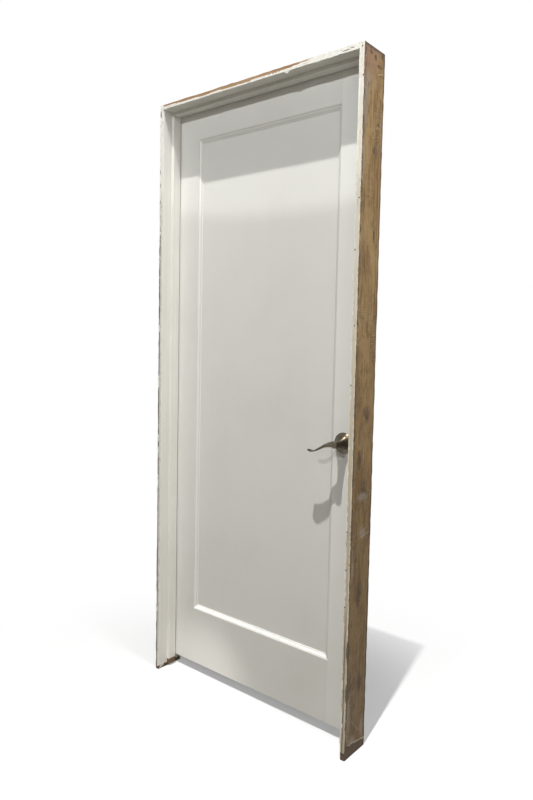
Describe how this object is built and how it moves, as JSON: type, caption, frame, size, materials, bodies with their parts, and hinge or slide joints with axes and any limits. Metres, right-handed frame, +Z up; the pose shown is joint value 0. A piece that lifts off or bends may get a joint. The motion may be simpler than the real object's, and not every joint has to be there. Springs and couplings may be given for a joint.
{
  "type": "interior door with frame",
  "caption": "Used white-painted single-panel interior door hung in its jambs with stops, butt hinges and a wave lever on a round rose; casing removed.",
  "frame": {"origin": "on the hinge jamb's outer face, at half the frame's depth, at the finished-floor line 25 mm above the jamb's foot", "axes": "+X from the hinge jamb to the strike jamb; +Y from the stop side to the hinge side, the way the leaf opens; +Z up"},
  "size_m": [0.8595, 0.183, 2.118],
  "materials": {
    "painted_leaf": "white satin paint on smooth fibreboard and wood",
    "painted_trim": "white paint, brushed, slightly dirty",
    "painted_jamb_wood": "white paint inside, bare aged softwood outside",
    "aged_jamb_wood": "bare aged softwood outside, white paint inside",
    "satin_nickel": "satin nickel",
    "satin_hinge_metal": "satin nickel plate",
    "lock_steel": "zinc-plated steel"
  },
  "bodies": {
    "frame": {"hinge_jamb": "painted_jamb_wood", "strike_jamb": "aged_jamb_wood", "head_jamb": "painted_jamb_wood", "hinge_side_stop": "painted_trim", "strike_side_stop": "painted_trim", "head_stop": "painted_trim", "strike_plate": "satin_hinge_metal", "top_hinge_jamb_leaf": "satin_hinge_metal", "middle_hinge_jamb_leaf": "satin_hinge_metal", "bottom_hinge_jamb_leaf": "satin_hinge_metal", "top_hinge_pin": "satin_hinge_metal", "middle_hinge_pin": "satin_hinge_metal", "bottom_hinge_pin": "satin_hinge_metal"},
    "leaf": {"hinge_stile": "painted_leaf", "lock_stile": "painted_leaf", "top_rail": "painted_leaf", "bottom_rail": "painted_leaf", "panel": "painted_leaf", "latch_faceplate": "satin_hinge_metal", "latch_bolt": "lock_steel", "latch_case": "lock_steel", "lock_chassis": "lock_steel", "front_rose": "satin_nickel", "back_rose": "satin_nickel", "front_moulding_bottom": "painted_leaf", "front_moulding_top": "painted_leaf", "front_moulding_hinge_side": "painted_leaf", "front_moulding_lock_side": "painted_leaf", "back_moulding_bottom": "painted_leaf", "back_moulding_top": "painted_leaf", "back_moulding_hinge_side": "painted_leaf", "back_moulding_lock_side": "painted_leaf", "top_hinge_door_leaf": "satin_hinge_metal", "middle_hinge_door_leaf": "satin_hinge_metal", "bottom_hinge_door_leaf": "satin_hinge_metal"},
    "levers": {"spindle": "lock_steel", "front_lever": "satin_nickel", "back_lever": "satin_nickel", "privacy_button": "satin_nickel"}
  },
  "joints": [
    {"name": "door_swing", "type": "hinge", "parent": "frame", "child": "leaf", "pos_m": [0.02, 0.0645, 1], "axis": [0, 0, 1], "range_deg": [0, 110]},
    {"name": "lever_turn", "type": "hinge", "parent": "leaf", "child": "levers", "pos_m": [0.7755, 0.0405, 0.932], "axis": [0, -1, 0], "range_deg": [-45, 45], "stiffness_Nm_per_rad": 0.8}
  ]
}
